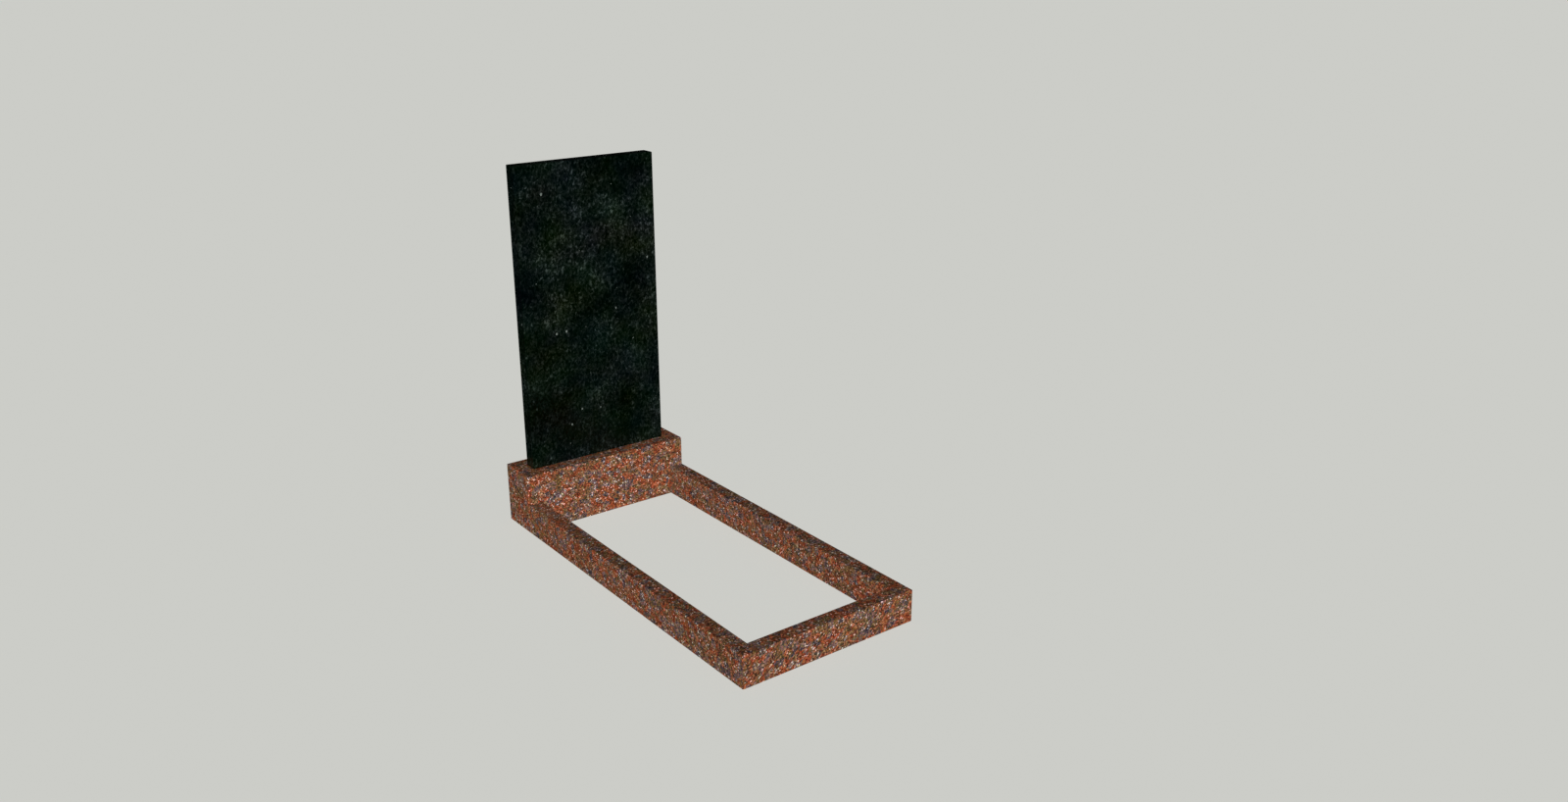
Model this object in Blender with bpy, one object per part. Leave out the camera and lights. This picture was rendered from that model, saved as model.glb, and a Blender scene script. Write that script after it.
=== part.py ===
"""A granite headstone set: an upright stele on a plinth, and a kerb round the planting bed.

Lengths are in metres. +Z is up, +X is to the right of someone who stands at the foot of the
bed and faces the stele, and the bed runs from the plinth towards -Y. The origin is on the
ground, in the middle of the whole set's footprint.
"""

from math import sqrt

import bmesh
import bpy
from mathutils import Vector

# Stele, the upright slab
STELE_WIDTH = 0.500
STELE_THICKNESS = 0.050
STELE_HEIGHT = 1.000

# Plinth, the block that the stele stands on
PLINTH_WIDTH = 0.600
PLINTH_DEPTH = 0.150
PLINTH_HEIGHT = 0.200

# Kerb, a bar on each side of the bed and one across its foot
KERB_LENGTH = 1.200       # from the plinth's front face to the foot of the set
KERB_BAR_WIDTH = 0.050
KERB_BAR_HEIGHT = 0.100

# Edges and joints
ARRIS = 0.002             # leg of the 45 degree chamfer polished onto every edge that shows
JOINT_GAP = 0.0003        # left between two stones that touch

# Stone colours, linear, and the polish
DARK_GRANITE_COLOUR = (0.0050, 0.0082, 0.0065, 1.0)
DARK_GRANITE_ROUGHNESS = 0.25
RED_GRANITE_COLOUR = (0.2140, 0.0980, 0.0610, 1.0)
RED_GRANITE_ROUGHNESS = 0.35

# Places that follow from the sizes
SET_LENGTH = PLINTH_DEPTH + KERB_LENGTH
BACK_Y = SET_LENGTH / 2
FOOT_Y = -SET_LENGTH / 2
PLINTH_FRONT_Y = BACK_Y - PLINTH_DEPTH
PLINTH_MIDDLE_Y = BACK_Y - PLINTH_DEPTH / 2
SIDE_BAR_LENGTH = KERB_LENGTH - JOINT_GAP
SIDE_BAR_MIDDLE_Y = FOOT_Y + SIDE_BAR_LENGTH / 2
SIDE_BAR_MIDDLE_X = PLINTH_WIDTH / 2 - KERB_BAR_WIDTH / 2
FOOT_BAR_MIDDLE_Y = FOOT_Y + KERB_BAR_WIDTH / 2

# Outward directions of a block's faces
LEFT = Vector((-1, 0, 0))
RIGHT = Vector((1, 0, 0))
FRONT = Vector((0, -1, 0))
BACK = Vector((0, 1, 0))
TOP = Vector((0, 0, 1))

TOP_EDGES = [(LEFT, TOP), (FRONT, TOP), (RIGHT, TOP), (BACK, TOP)]
UPRIGHT_EDGES = [(LEFT, FRONT), (FRONT, RIGHT), (RIGHT, BACK), (BACK, LEFT)]

CUT_SNAP = 1e-6           # a corner this close to a cutting plane counts as on it


def clear_scene():
    """Remove the objects that a new file starts with."""
    for existing in list(bpy.data.objects):
        bpy.data.objects.remove(existing, do_unlink=True)


def granite(name, colour, roughness):
    """A polished stone of one base colour."""
    material = bpy.data.materials.new(name)
    material.use_nodes = True
    shader = material.node_tree.nodes["Principled BSDF"]
    shader.inputs["Base Color"].default_value = colour
    shader.inputs["Roughness"].default_value = roughness
    shader.inputs["Metallic"].default_value = 0.0
    material.diffuse_color = colour
    return material


def arris(edge):
    """The cut that takes the sharpness off the edge between two faces of a block."""
    return edge, edge[0] + edge[1], ARRIS / sqrt(2)


def mitre(corner, away):
    """The cut that runs diagonally from an upright corner and takes the `away` side."""
    return corner, away[0] + away[1], JOINT_GAP / 2


def saw_off(shape, point, normal):
    """Take away what lies beyond a plane, and close the sawn face."""
    geometry = list(shape.verts) + list(shape.edges) + list(shape.faces)
    cut = bmesh.ops.bisect_plane(
        shape, geom=geometry, dist=CUT_SNAP, plane_co=point, plane_no=normal, clear_outer=True
    )
    rim = [item for item in cut["geom_cut"] if isinstance(item, bmesh.types.BMEdge)]
    bmesh.ops.edgeloop_fill(shape, edges=rim)


def stone_block(name, size, base, cuts, material):
    """A sawn block that stands on `base`, the middle of its underside.

    Each cut is an edge, given by its two faces, the direction that is taken away there, and
    how far behind the edge the cutting plane lies.
    """
    width, depth, height = size
    shape = bmesh.new()
    bmesh.ops.create_cube(shape, size=1.0)
    bmesh.ops.translate(shape, verts=shape.verts, vec=(0, 0, 0.5))
    bmesh.ops.scale(shape, verts=shape.verts, vec=size)

    half_size = Vector((width / 2, depth / 2, height / 2))
    middle = Vector((0, 0, height / 2))
    for edge, direction, set_back in cuts:
        on_edge = middle + (edge[0] + edge[1]) * half_size
        normal = direction.normalized()
        saw_off(shape, on_edge - normal * set_back, normal)

    bmesh.ops.recalc_face_normals(shape, faces=shape.faces)
    mesh = bpy.data.meshes.new(name)
    shape.to_mesh(mesh)
    shape.free()
    mesh.materials.append(material)
    block = bpy.data.objects.new(name, mesh)
    block.location = base
    bpy.context.collection.objects.link(block)
    return block


def build_stele(material):
    """The slab stands in the middle of the plinth's top."""
    stone_block(
        "stele",
        size=(STELE_WIDTH, STELE_THICKNESS, STELE_HEIGHT),
        base=(0, PLINTH_MIDDLE_Y, PLINTH_HEIGHT + JOINT_GAP),
        cuts=[arris(edge) for edge in TOP_EDGES + UPRIGHT_EDGES],
        material=material,
    )


def build_plinth(material):
    """The plinth stands at the head of the set."""
    stone_block(
        "plinth",
        size=(PLINTH_WIDTH, PLINTH_DEPTH, PLINTH_HEIGHT),
        base=(0, PLINTH_MIDDLE_Y, 0),
        cuts=[arris(edge) for edge in TOP_EDGES + UPRIGHT_EDGES],
        material=material,
    )


def build_kerb(material):
    """Two side bars butt against the plinth, flush with its ends, and a third joins them.

    The bars meet in mitres at the foot of the set, where their outer corners share an arris.
    """
    for name, side, outer, inner in [
        ("kerb_left", -1, LEFT, RIGHT),
        ("kerb_right", 1, RIGHT, LEFT),
    ]:
        foot_corner = (outer, FRONT)
        stone_block(
            name,
            size=(KERB_BAR_WIDTH, SIDE_BAR_LENGTH, KERB_BAR_HEIGHT),
            base=(side * SIDE_BAR_MIDDLE_X, SIDE_BAR_MIDDLE_Y, 0),
            cuts=[
                mitre(foot_corner, away=(inner, FRONT)),
                arris((outer, TOP)),
                arris((inner, TOP)),
                arris(foot_corner),
            ],
            material=material,
        )
    stone_block(
        "kerb_front",
        size=(PLINTH_WIDTH, KERB_BAR_WIDTH, KERB_BAR_HEIGHT),
        base=(0, FOOT_BAR_MIDDLE_Y, 0),
        cuts=[
            mitre((LEFT, FRONT), away=(LEFT, BACK)),
            mitre((RIGHT, FRONT), away=(RIGHT, BACK)),
            arris((FRONT, TOP)),
            arris((BACK, TOP)),
            arris((LEFT, FRONT)),
            arris((RIGHT, FRONT)),
        ],
        material=material,
    )


def build_headstone():
    """All five stones, each in its place."""
    clear_scene()
    dark_granite = granite("dark_granite", DARK_GRANITE_COLOUR, DARK_GRANITE_ROUGHNESS)
    red_granite = granite("red_granite", RED_GRANITE_COLOUR, RED_GRANITE_ROUGHNESS)
    build_stele(dark_granite)
    build_plinth(red_granite)
    build_kerb(red_granite)


build_headstone()
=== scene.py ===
from math import radians, sqrt

import bmesh
import bpy
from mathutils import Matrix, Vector


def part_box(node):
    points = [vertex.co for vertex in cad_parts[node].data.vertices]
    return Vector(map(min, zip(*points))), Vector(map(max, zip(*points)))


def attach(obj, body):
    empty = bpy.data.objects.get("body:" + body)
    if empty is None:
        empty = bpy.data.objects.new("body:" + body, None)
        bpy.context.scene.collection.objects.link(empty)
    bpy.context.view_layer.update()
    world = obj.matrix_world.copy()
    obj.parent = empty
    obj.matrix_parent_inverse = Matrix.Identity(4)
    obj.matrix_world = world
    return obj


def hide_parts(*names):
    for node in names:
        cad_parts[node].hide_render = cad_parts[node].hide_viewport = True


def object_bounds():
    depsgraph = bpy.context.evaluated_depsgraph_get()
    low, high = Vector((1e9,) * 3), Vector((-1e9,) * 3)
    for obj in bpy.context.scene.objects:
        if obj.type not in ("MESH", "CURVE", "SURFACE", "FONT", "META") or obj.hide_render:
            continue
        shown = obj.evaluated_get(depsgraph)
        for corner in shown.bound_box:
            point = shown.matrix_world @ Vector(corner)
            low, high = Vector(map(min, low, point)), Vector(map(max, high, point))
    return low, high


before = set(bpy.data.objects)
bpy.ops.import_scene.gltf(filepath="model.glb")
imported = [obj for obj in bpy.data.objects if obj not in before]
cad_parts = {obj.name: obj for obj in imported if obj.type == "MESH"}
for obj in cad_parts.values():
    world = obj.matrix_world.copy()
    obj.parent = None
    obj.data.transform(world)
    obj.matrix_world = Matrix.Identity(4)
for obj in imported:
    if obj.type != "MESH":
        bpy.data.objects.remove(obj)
cadLow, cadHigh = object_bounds()
mm = 0.001
print("frame loaded:", ", ".join(sorted(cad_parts)))


# Helpers that every stage uses

def linear(hexColour):
    # an sRGB hex colour as Blender's linear values, opaque
    parts = [int(hexColour[i:i + 2], 16) / 255 for i in (1, 3, 5)]
    return (*[p / 12.92 if p <= 0.04045 else ((p + 0.055) / 1.055) ** 2.4 for p in parts], 1.0)


def addNode(tree, kind, inputs=None, stops=None, **settings):
    # inputs: socket name or number -> a value, or the output that feeds it; stops: (place, hex)
    node = tree.nodes.new(kind)
    for name, value in settings.items():
        setattr(node, name, value)
    for name, value in (inputs or {}).items():
        if isinstance(value, bpy.types.NodeSocket):
            tree.links.new(value, node.inputs[name])
        else:
            node.inputs[name].default_value = value
    if stops:
        marks = node.color_ramp.elements
        while len(marks) < len(stops):
            marks.new(1.0)
        for mark, (place, hexColour) in zip(marks, stops):
            mark.position = place
            mark.color = linear(hexColour)
    return node


def sharesToStops(shares):
    # (share, hex) pairs become the places on a constant ramp where each colour starts
    total = sum(share for share, _ in shares)
    start = 0.0
    stops = []
    for share, hexColour in shares:
        stops.append((start / total, hexColour))
        start += share
    return stops


noiseMiddle = 0.5  # the average of a noise texture


# Red granite

redGranite = {
    # coarse red biotite granite, sawn and then polished: the eye sees a lively speckle of
    # brick, brown, olive and mauve crystals, with small bright and dark grains all through them
    "crystalSize": 18,       # mm
    "wobbleSize": 7,         # mm, how often a crystal's outline bends
    "wobble": 7.0,           # mm, how far it bends
    "patchSize": 34,         # mm, areas with more quartz and areas with more feldspar
    "patchPull": 0.55,       # how strongly an area keeps to its own minerals
    "grainSize": 3.9,        # mm
    "grainShare": (0.36, 0.66),  # how much of its own colour a black and a white grain show
    "ior": 1.54,             # quartz and feldspar
    "shine": 0.5,            # as much as its IOR gives
    "powder": "#b39a8c",     # crushed stone, in the pits of a face that isn't polished
    "crystals": [            # share and colour, from the quartz end to the feldspar end
        (12, "#5a5a65"),     # smoky blue quartz
        (16, "#897874"),     # mauve grey quartz
        (16, "#786340"),     # olive mica and feldspar
        (16, "#84543a"),     # brown feldspar
        (28, "#a54e26"),     # brick feldspar
        (12, "#a46d4a"),     # salmon feldspar
    ],
    "grains": [
        (17, "#15151e"),     # black mica
        (20, "#473b37"),     # smoky quartz
        (25, "#7a553b"),     # brown feldspar
        (21, "#a36748"),     # brick feldspar
        (13, "#be8f72"),     # salmon feldspar
        (4, "#eae0d8"),      # milky quartz
    ],
    "tints": [               # what each grain adds of its own
        (26, "#a4bcd8"),     # blue of smoky quartz
        (24, "#d8ccc4"),     # grey of clear quartz
        (25, "#ccd688"),     # green of weathered mica
        (25, "#eeacbc"),     # pink of fresh feldspar
    ],
    "gleam": 5.2,            # how much a bright grain lights its crystal's colour
    "gloom": 0.62,           # what the darkest grain leaves of it
}


def redGraniteColour(tree, place):
    # gives the colour, and a number for each grain that its polish follows
    stone = redGranite
    bend = addNode(tree, "ShaderNodeTexNoise",
                   {"Vector": place, "Scale": 1 / (stone["wobbleSize"] * mm), "Detail": 2.0})
    bent = addNode(tree, "ShaderNodeVectorMath",
                   {0: bend.outputs["Color"], 1: [stone["wobble"] * mm] * 3, 2: place},
                   operation="MULTIPLY_ADD").outputs[0]

    patch = addNode(tree, "ShaderNodeTexNoise",
                    {"Vector": place, "Scale": 1 / (stone["patchSize"] * mm), "Detail": 1.0})
    pull = addNode(tree, "ShaderNodeMath", {0: patch.outputs[0], 1: noiseMiddle},
                   operation="SUBTRACT")
    cells = addNode(tree, "ShaderNodeTexVoronoi",
                    {"Vector": bent, "Scale": 1 / (stone["crystalSize"] * mm)})
    cellChance = addNode(tree, "ShaderNodeSeparateColor", {0: cells.outputs["Color"]})
    mineral = addNode(tree, "ShaderNodeMath",
                      {0: pull.outputs[0], 1: stone["patchPull"], 2: cellChance.outputs[0]},
                      operation="MULTIPLY_ADD")
    crystal = addNode(tree, "ShaderNodeValToRGB", {0: mineral.outputs[0]},
                      stops=sharesToStops(stone["crystals"]))
    crystal.color_ramp.interpolation = "CONSTANT"

    grains = addNode(tree, "ShaderNodeTexVoronoi",
                     {"Vector": place, "Scale": 1 / (stone["grainSize"] * mm)})
    grainChance = addNode(tree, "ShaderNodeSeparateColor", {0: grains.outputs["Color"]})
    grain = addNode(tree, "ShaderNodeValToRGB", {0: grainChance.outputs[0]},
                    stops=sharesToStops(stone["grains"]))
    grain.color_ramp.interpolation = "CONSTANT"
    # a grain is as bright in its crystal as it is by itself, and keeps some of its own colour
    bright = addNode(tree, "ShaderNodeRGBToBW", {0: grain.outputs[0]})
    lit = addNode(tree, "ShaderNodeMath",
                  {0: bright.outputs[0], 1: stone["gleam"], 2: stone["gloom"]},
                  operation="MULTIPLY_ADD")
    tint = addNode(tree, "ShaderNodeValToRGB", {0: grainChance.outputs[1]},
                   stops=sharesToStops(stone["tints"]))
    tint.color_ramp.interpolation = "CONSTANT"
    tinted = addNode(tree, "ShaderNodeMix",
                     {0: 1.0, 6: crystal.outputs[0], 7: tint.outputs[0]},
                     data_type="RGBA", blend_type="MULTIPLY")
    grainy = addNode(tree, "ShaderNodeVectorMath",
                     {0: tinted.outputs[2], "Scale": lit.outputs[0]}, operation="SCALE")
    own = addNode(tree, "ShaderNodeMapRange",
                  {"Value": bright.outputs[0], "To Min": stone["grainShare"][0],
                   "To Max": stone["grainShare"][1]})
    colour = addNode(tree, "ShaderNodeMix",
                     {0: own.outputs[0], 6: grainy.outputs[0], 7: grain.outputs[0]},
                     data_type="RGBA")
    return colour.outputs[2], grainChance.outputs[2]


# Dark granite

darkGranite = {
    # black-green gabbro, sawn and then polished: the eye sees a nearly black stone, clouded
    # with grey-green flecks of feldspar and dark ones of pyroxene, and a rare bright one
    "fleckSize": 7.8,        # mm, really 2 to 3: drawn coarser, or none would show
    "fleckStretch": 0.72,    # a fleck's width over its height
    "fleckCurl": 0.8,        # how much its outline twists
    "cloudSize": 150,        # mm, patches with more and with fewer flecks
    "cloudPull": 0.76,       # how strongly a patch keeps to its own number of them
    "tones": [               # from pyroxene to feldspar, and where each lies in the pattern
        (0.20, "#000501"), (0.36, "#000904"), (0.45, "#060e09"), (0.53, "#0c140f"),
        (0.61, "#141c17"), (0.70, "#212925"), (0.82, "#3f4844"),
    ],
    "tintSize": 130,         # mm, how quickly the stone leans to green, teal, grey or mauve
    "tintSpread": (0.32, 0.62, 0.98),  # how far red, green and blue lean, each by itself
    "tintEven": "#131313",   # a grey tinted with every tone, so that dark ones lean as much
    "sparkSpace": 30,        # mm between the rare bright specks
    "sparkShare": 0.35,      # how many of the places for one hold one
    "sparkWidth": 8.0,       # mm
    "ior": 1.56,             # feldspar
    "shine": 0.18,           # of 0.5, so that it mirrors almost nothing of the kerb
    "powder": "#555a57",     # crushed stone, in the pits of a face that isn't polished
    "spark": "#6c746e",      # feldspar that lies flat to the face
}


def darkGraniteColour(tree, place):
    # gives the colour, and a number for each grain that its polish follows
    stone = darkGranite
    tall = addNode(tree, "ShaderNodeVectorMath",
                   {0: place, 1: (1.0, 1.0, stone["fleckStretch"])}, operation="MULTIPLY")
    flecks = addNode(tree, "ShaderNodeTexNoise",
                     {"Vector": tall.outputs[0], "Scale": 1 / (stone["fleckSize"] * mm),
                      "Detail": 1.0, "Distortion": stone["fleckCurl"]})
    cloud = addNode(tree, "ShaderNodeTexNoise",
                    {"Vector": place, "Scale": 1 / (stone["cloudSize"] * mm), "Detail": 4.0})
    pull = addNode(tree, "ShaderNodeMath", {0: cloud.outputs[0], 1: noiseMiddle},
                   operation="SUBTRACT")
    tone = addNode(tree, "ShaderNodeMath",
                   {0: pull.outputs[0], 1: stone["cloudPull"], 2: flecks.outputs[0]},
                   operation="MULTIPLY_ADD")
    grey = addNode(tree, "ShaderNodeValToRGB", {0: tone.outputs[0]}, stops=stone["tones"])
    lean = addNode(tree, "ShaderNodeTexNoise",
                   {"Vector": place, "Scale": 1 / (stone["tintSize"] * mm), "Detail": 5.0})
    tint = addNode(tree, "ShaderNodeVectorMath",
                   {0: lean.outputs["Color"], 1: stone["tintSpread"],
                    2: [1 - spread * noiseMiddle for spread in stone["tintSpread"]]},
                   operation="MULTIPLY_ADD")
    # the tone and the even grey take the tint together, and then the grey is taken off again
    even = linear(stone["tintEven"])[:3]
    raised = addNode(tree, "ShaderNodeVectorMath", {0: grey.outputs[0], 1: even})
    tinted = addNode(tree, "ShaderNodeVectorMath",
                     {0: raised.outputs[0], 1: tint.outputs[0], 2: [-part for part in even]},
                     operation="MULTIPLY_ADD")

    dots = addNode(tree, "ShaderNodeTexVoronoi",
                   {"Vector": tall.outputs[0], "Scale": 1 / (stone["sparkSpace"] * mm)})
    dotChance = addNode(tree, "ShaderNodeSeparateColor", {0: dots.outputs["Color"]})
    reach = addNode(tree, "ShaderNodeMapRange",
                    {"Value": dotChance.outputs[0], "From Min": 1 - stone["sparkShare"],
                     "To Max": stone["sparkWidth"] / stone["sparkSpace"] / 2})
    isSpark = addNode(tree, "ShaderNodeMath", {0: dots.outputs["Distance"], 1: reach.outputs[0]},
                      operation="LESS_THAN")
    colour = addNode(tree, "ShaderNodeMix",
                     {0: isSpark.outputs[0], 6: tinted.outputs[0], 7: linear(stone["spark"])},
                     data_type="RGBA", clamp_result=True)
    return colour.outputs[2], flecks.outputs[0]


# Finishes

finishes = {
    # roughness low and high between minerals, how deep the surface is cut in mm,
    # and how much of the crushed stone's own pale colour the cut leaves on it
    "polished": {"roughness": (0.20, 0.34), "relief": 0.03, "bloom": 0.0},
    "honed": {"roughness": (0.42, 0.52), "relief": 0.06, "bloom": 0.05},
    "sawn": {"roughness": (0.62, 0.74), "relief": 0.25, "bloom": 0.35},
}
reliefStrength = 0.3         # how strongly the cut shows in the light, for every finish


def graniteMaterial(name, stone, colourOf, finish, facts):
    # the stone's turn, shift and stretch pick the part of the rock that it was cut from
    cut = finishes[finish]
    material = bpy.data.materials.new(name)
    material.use_nodes = True
    tree = material.node_tree
    tree.nodes.clear()
    where = addNode(tree, "ShaderNodeTexCoord")
    place = addNode(tree, "ShaderNodeMapping",
                    {"Vector": where.outputs["Object"], "Location": facts["shift"],
                     "Rotation": [radians(angle) for angle in facts["turn"]],
                     "Scale": facts.get("stretch", (1, 1, 1))}, vector_type="TEXTURE")
    colour, height = colourOf(tree, place.outputs[0])
    dusty = addNode(tree, "ShaderNodeMix",
                    {0: cut["bloom"], 6: colour, 7: linear(stone["powder"])}, data_type="RGBA")
    gloss = addNode(tree, "ShaderNodeMapRange",
                    {"Value": height, "To Min": cut["roughness"][0],
                     "To Max": cut["roughness"][1]})
    relief = addNode(tree, "ShaderNodeBump",
                     {"Height": height, "Strength": reliefStrength, "Distance": cut["relief"] * mm})
    shader = addNode(tree, "ShaderNodeBsdfPrincipled",
                     {"Base Color": dusty.outputs[2], "Roughness": gloss.outputs[0],
                      "IOR": stone["ior"], "Specular IOR Level": stone["shine"],
                      "Normal": relief.outputs[0]})
    addNode(tree, "ShaderNodeOutputMaterial", {"Surface": shader.outputs[0]})
    return material


# The stones

def stoneTree():
    # a block with eased edges: the hull of boxes that each fall short of some of its faces
    tree = bpy.data.node_groups.new("cutStone", "GeometryNodeTree")
    tree.is_modifier = True
    newSocket = tree.interface.new_socket
    for name in ("Length", "Width", "Height", "Side Arris", "End Arris",
                 "Mitre Start", "Mitre End", "Half Joint"):
        newSocket(name, in_out="INPUT", socket_type="NodeSocketFloat")
    for name in ("Corner", "Along", "Across"):
        newSocket(name, in_out="INPUT", socket_type="NodeSocketVector")
    for name in ("Front", "Back", "Underside"):
        newSocket(name, in_out="INPUT", socket_type="NodeSocketMaterial")
    newSocket("Geometry", in_out="OUTPUT", socket_type="NodeSocketGeometry")
    given = addNode(tree, "NodeGroupInput").outputs

    # in the stone's own directions: x along it, y across it from its outer face, z up
    whole = addNode(tree, "ShaderNodeCombineXYZ",
                    {0: given["Length"], 1: given["Width"], 2: given["Height"]})
    arris = addNode(tree, "ShaderNodeCombineXYZ",
                    {0: given["End Arris"], 1: given["Side Arris"], 2: given["Side Arris"]})
    boxes = addNode(tree, "GeometryNodeJoinGeometry")
    for short in ((2, 0, 1), (0, 2, 1), (2, 2, 0), (1, 1, 0.5)):
        size = addNode(tree, "ShaderNodeVectorMath",
                       {0: arris.outputs[0], 1: [-n for n in short], 2: whole.outputs[0]},
                       operation="MULTIPLY_ADD")
        lift = addNode(tree, "ShaderNodeVectorMath", {0: size.outputs[0], 1: (0, 0, 0.5)},
                       operation="MULTIPLY")
        middle = addNode(tree, "ShaderNodeVectorMath",
                         {0: whole.outputs[0], 1: (0.5, 0.5, 0), 2: lift.outputs[0]},
                         operation="MULTIPLY_ADD")
        box = addNode(tree, "GeometryNodeMeshCube", {"Size": size.outputs[0]})
        moved = addNode(tree, "GeometryNodeTransform",
                        {"Geometry": box.outputs[0], "Translation": middle.outputs[0]})
        tree.links.new(moved.outputs[0], boxes.inputs[0])

    # a mitred end is set back as far as the point lies from the outer face
    point = addNode(tree, "GeometryNodeInputPosition")
    own = addNode(tree, "ShaderNodeSeparateXYZ", {0: point.outputs[0]})
    tip = addNode(tree, "ShaderNodeMath", {0: given["Side Arris"], 1: own.outputs[1]},
                  operation="SUBTRACT")
    diagonal = addNode(tree, "ShaderNodeMath", {0: own.outputs[1], 1: given["Half Joint"]})
    setBack = addNode(tree, "ShaderNodeMath", {0: diagonal.outputs[0], 1: tip.outputs[0]},
                      operation="MAXIMUM")
    half = addNode(tree, "ShaderNodeMath", {0: given["Length"], 1: 0.5}, operation="MULTIPLY")
    atEnd = addNode(tree, "ShaderNodeMath", {0: own.outputs[0], 1: half.outputs[0]},
                    operation="GREATER_THAN")
    backwards = addNode(tree, "ShaderNodeMath", {0: given["Mitre End"], 1: -1.0},
                        operation="MULTIPLY")
    share = addNode(tree, "ShaderNodeMix",
                    {0: atEnd.outputs[0], 2: given["Mitre Start"], 3: backwards.outputs[0]})
    cutX = addNode(tree, "ShaderNodeMath",
                   {0: setBack.outputs[0], 1: share.outputs[0], 2: own.outputs[0]},
                   operation="MULTIPLY_ADD")

    # then each point goes to its place in the set
    along = addNode(tree, "ShaderNodeVectorMath",
                    {0: given["Along"], "Scale": cutX.outputs[0]}, operation="SCALE")
    across = addNode(tree, "ShaderNodeVectorMath",
                     {0: given["Across"], "Scale": own.outputs[1]}, operation="SCALE")
    up = addNode(tree, "ShaderNodeCombineXYZ", {2: own.outputs[2]})
    flat = addNode(tree, "ShaderNodeVectorMath", {0: along.outputs[0], 1: across.outputs[0]})
    upright = addNode(tree, "ShaderNodeVectorMath", {0: flat.outputs[0], 1: up.outputs[0]})
    placed = addNode(tree, "ShaderNodeVectorMath", {0: upright.outputs[0], 1: given["Corner"]})
    points = addNode(tree, "GeometryNodeSetPosition",
                     {"Geometry": boxes.outputs[0], "Position": placed.outputs[0]})
    hull = addNode(tree, "GeometryNodeConvexHull", {0: points.outputs[0]})

    solid = addNode(tree, "GeometryNodeRealizeInstances", {"Geometry": hull.outputs[0]})
    squareOn = 0.99  # how squarely a face looks back or down to be dressed as one that does
    facing = addNode(tree, "GeometryNodeInputNormal")
    faceWay = addNode(tree, "ShaderNodeSeparateXYZ", {0: facing.outputs[0]})
    isBack = addNode(tree, "ShaderNodeMath", {0: faceWay.outputs[1], 1: squareOn},
                     operation="GREATER_THAN")
    isUnder = addNode(tree, "ShaderNodeMath", {0: faceWay.outputs[2], 1: -squareOn},
                      operation="LESS_THAN")
    dressed = addNode(tree, "GeometryNodeSetMaterial",
                      {"Geometry": solid.outputs[0], "Material": given["Front"]})
    dressed = addNode(tree, "GeometryNodeSetMaterial",
                      {"Geometry": dressed.outputs[0], "Selection": isBack.outputs[0],
                       "Material": given["Back"]})
    dressed = addNode(tree, "GeometryNodeSetMaterial",
                      {"Geometry": dressed.outputs[0], "Selection": isUnder.outputs[0],
                       "Material": given["Underside"]})
    addNode(tree, "NodeGroupOutput", {0: dressed.outputs[0]})
    return tree


edges = {
    "arris": 2.0,            # mm, the polished chamfer on edges that show
    "wear": 0.35,            # mm, the softness of every edge, sawn ones too
    "joint": 0.3,            # mm between two stones
}


def cutStone(name, tree, values):
    # runs the tree, keeps its mesh, and takes the knife edge off every corner
    holder = bpy.data.objects.new(name, bpy.data.meshes.new(name + "Holder"))
    bpy.context.scene.collection.objects.link(holder)
    modifier = holder.modifiers.new("cutStone", "NODES")
    modifier.node_group = tree
    for item in tree.interface.items_tree:
        if item.item_type == "SOCKET" and item.in_out == "INPUT":
            modifier[item.identifier] = values[item.name]
    bpy.context.view_layer.update()
    evaluated = holder.evaluated_get(bpy.context.evaluated_depsgraph_get())
    mesh = bpy.data.meshes.new_from_object(evaluated)
    holder.modifiers.remove(modifier)
    holder.data = mesh
    mesh.materials.pop(index=0)  # the boxes' own empty slot

    shape = bmesh.new()
    shape.from_mesh(mesh)
    bmesh.ops.dissolve_limit(shape, angle_limit=radians(1), verts=shape.verts,
                             edges=shape.edges, delimit={"MATERIAL"})
    bmesh.ops.bevel(shape, geom=shape.edges, offset=edges["wear"] * mm, segments=2,
                    profile=0.5, affect="EDGES", clamp_overlap=True, material=-1)
    bmesh.ops.recalc_face_normals(shape, faces=shape.faces)
    shape.to_mesh(mesh)
    shape.free()
    return holder


stones = {
    # the CAD node that each stands for, its rock, and the part of the rock that it was cut
    # from: turned by so many degrees, shifted by so many metres, its grain drawn out by so much
    "steleSlab": {"node": "stele", "rock": "dark", "turn": (7, 5, 35), "shift": (2.3, 4.3, 6.9)},
    "plinthBlock": {"node": "plinth", "rock": "red", "turn": (0, 0, 0), "shift": (1.3, 6.3, 2.6)},
    "leftBar": {"node": "kerb_left", "rock": "red", "turn": (20, 0, 0), "shift": (3.5, 0.0, 4.2)},
    "rightBar": {"node": "kerb_right", "rock": "red", "turn": (20, 0, 5), "shift": (3.3, 0.4, 0)},
    "footBar": {"node": "kerb_front", "rock": "red", "turn": (0, 50, 0), "shift": (1.5, 4.6, 3.6),
                "stretch": (0.8, 1, 1.2), "Back": "polished"},  # its back faces the bed
}
faceFinish = {"Front": "polished", "Back": "honed", "Underside": "sawn"}


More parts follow.
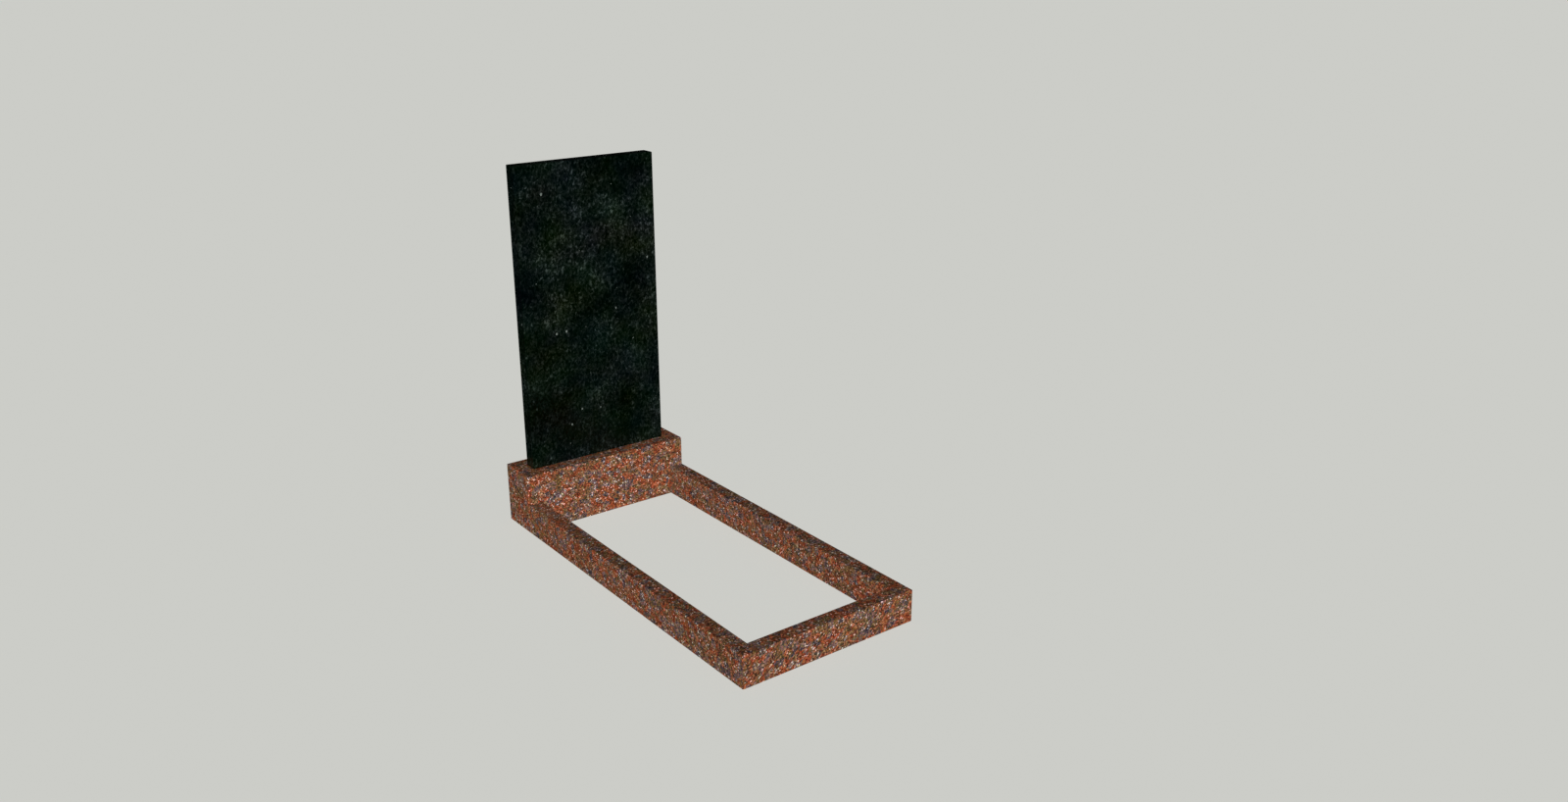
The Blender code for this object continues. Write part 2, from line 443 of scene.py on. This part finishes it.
def stoneValues(name, facts):
    # the tree's inputs for one stone, from the box of its CAD node
    low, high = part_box(facts["node"])
    size = high - low
    foot = cadLow.y
    arris = edges["arris"] * mm
    values = {"Height": size.z, "Side Arris": arris, "End Arris": 0.0, "Mitre Start": 0.0,
              "Mitre End": 0.0, "Half Joint": edges["joint"] * mm / sqrt(2)}
    if name in ("steleSlab", "plinthBlock"):
        values.update({"Length": size.x, "Width": size.y, "End Arris": arris, "Corner": low,
                       "Along": Vector((1, 0, 0)), "Across": Vector((0, 1, 0))})
    elif name == "footBar":
        values.update({"Length": cadHigh.x - cadLow.x, "Width": size.y,
                       "Mitre Start": 1.0, "Mitre End": 1.0, "Corner": cadLow.copy(),
                       "Along": Vector((1, 0, 0)), "Across": Vector((0, 1, 0))})
    else:
        side = 1 if name == "leftBar" else -1
        outer = low.x if name == "leftBar" else high.x
        values.update({"Length": high.y - foot, "Width": size.x, "Mitre Start": 1.0,
                       "Corner": Vector((outer, foot, low.z)),
                       "Along": Vector((0, 1, 0)), "Across": Vector((side, 0, 0))})
    return values


rocks = {"red": (redGranite, redGraniteColour), "dark": (darkGranite, darkGraniteColour)}


def buildStones():
    tree = stoneTree()
    for name, facts in stones.items():
        rock, colourOf = rocks[facts["rock"]]
        values = stoneValues(name, facts)
        made = {}
        for face in ("Front", "Back", "Underside"):
            finish = facts.get(face, faceFinish[face])
            if finish not in made:
                made[finish] = graniteMaterial(
                    facts["rock"] + "Granite" + finish.title() + "_" + name, rock, colourOf,
                    finish, facts)
            values[face] = made[finish]
        piece = cutStone(name, tree, values)
        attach(piece, "root")
        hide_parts(facts["node"])
        print("stone cut:", name, len(piece.data.polygons), "faces")


# Floor, light and camera

studio = {
    "backdrop": "#cccdc8",
    "floorSize": 400,          # m
    "floorPaint": "#827f7a",
    "floorGlow": 0.845,        # of the backdrop, which makes the lit floor as pale as that
    # each light's strength in W/m2, colour, compass turn and height, and softness in degrees
    "keyLight": (3.73, "#fffbf8", -35.0, 16.3, 8),
    "fillLight": (1.4, "#ffffff", 143.0, 0.0, 20),
    "ambient": 0.125, "ambientColour": "#c1e7ff",
    "mirrored": 0.004,         # what the polish sees of the room
}


def placeSun(name):
    # a wide soft light from a compass turn (0 is the front) and a height; it casts no shadow
    strength, colour, turn, height, softness = studio[name]
    lamp = bpy.data.lights.new(name, "SUN")
    lamp.energy = strength
    lamp.color = linear(colour)[:3]
    lamp.angle = radians(softness)
    lamp.use_shadow = False
    sun = bpy.data.objects.new(name, lamp)
    sun.rotation_euler = (radians(90 - height), 0, radians(turn))
    sun.visible_glossy = False
    bpy.context.scene.collection.objects.link(sun)


def buildStudio():
    pale = linear(studio["backdrop"])
    floorMesh = bpy.data.meshes.new("floor")
    half = studio["floorSize"] / 2
    corners = [(-half, -half, 0), (half, -half, 0), (half, half, 0), (-half, half, 0)]
    floorMesh.from_pydata(corners, [], [(0, 1, 2, 3)])
    floor = bpy.data.objects.new("floor", floorMesh)
    bpy.context.scene.collection.objects.link(floor)
    paint = bpy.data.materials.new("matFloorPaint")
    paint.use_nodes = True
    tree = paint.node_tree
    tree.nodes.clear()
    matt = addNode(tree, "ShaderNodeBsdfDiffuse", {"Color": linear(studio["floorPaint"])})
    glow = addNode(tree, "ShaderNodeEmission", {"Color": pale, "Strength": studio["floorGlow"]})
    both = addNode(tree, "ShaderNodeAddShader", {0: matt.outputs[0], 1: glow.outputs[0]})
    addNode(tree, "ShaderNodeOutputMaterial", {"Surface": both.outputs[0]})
    floorMesh.materials.append(paint)
    floor.visible_diffuse = False
    floor.visible_glossy = False

    world = bpy.data.worlds.new("studio")
    world.use_nodes = True
    bpy.context.scene.world = world
    tree = world.node_tree
    tree.nodes.clear()
    ray = addNode(tree, "ShaderNodeLightPath")
    soft = addNode(tree, "ShaderNodeBackground", {"Color": linear(studio["ambientColour"]),
                                                  "Strength": studio["ambient"]})
    dark = addNode(tree, "ShaderNodeBackground", {"Color": (1, 1, 1, 1),
                                                  "Strength": studio["mirrored"]})
    seen = addNode(tree, "ShaderNodeBackground", {"Color": pale})
    glossy = addNode(tree, "ShaderNodeMixShader",
                     {0: ray.outputs["Is Glossy Ray"], 1: soft.outputs[0], 2: dark.outputs[0]})
    mixed = addNode(tree, "ShaderNodeMixShader",
                    {0: ray.outputs["Is Camera Ray"], 1: glossy.outputs[0], 2: seen.outputs[0]})
    addNode(tree, "ShaderNodeOutputWorld", {"Surface": mixed.outputs[0]})

    placeSun("keyLight")
    placeSun("fillLight")
    bpy.context.scene.view_settings.view_transform = "Standard"
    print("studio ready")


portrait = {
    "place": (-1.98881, -3.04642, 1.83323),   # m
    "turn": -37.5622,                         # degrees from +Y, to the right
    "lookDown": 19.5117,                      # degrees
    "lens": 29.412, "sensor": 36.0,           # mm
}


def buildCamera():
    lens = bpy.data.cameras.new("portrait")
    lens.lens = portrait["lens"]
    lens.sensor_width = portrait["sensor"]
    lens.clip_end = studio["floorSize"]
    camera = bpy.data.objects.new("portrait", lens)
    camera.location = portrait["place"]
    camera.rotation_euler = (radians(90 - portrait["lookDown"]), 0, radians(portrait["turn"]))
    bpy.context.scene.collection.objects.link(camera)
    bpy.context.scene.camera = camera
    print("camera ready")


buildStones()
buildStudio()
buildCamera()
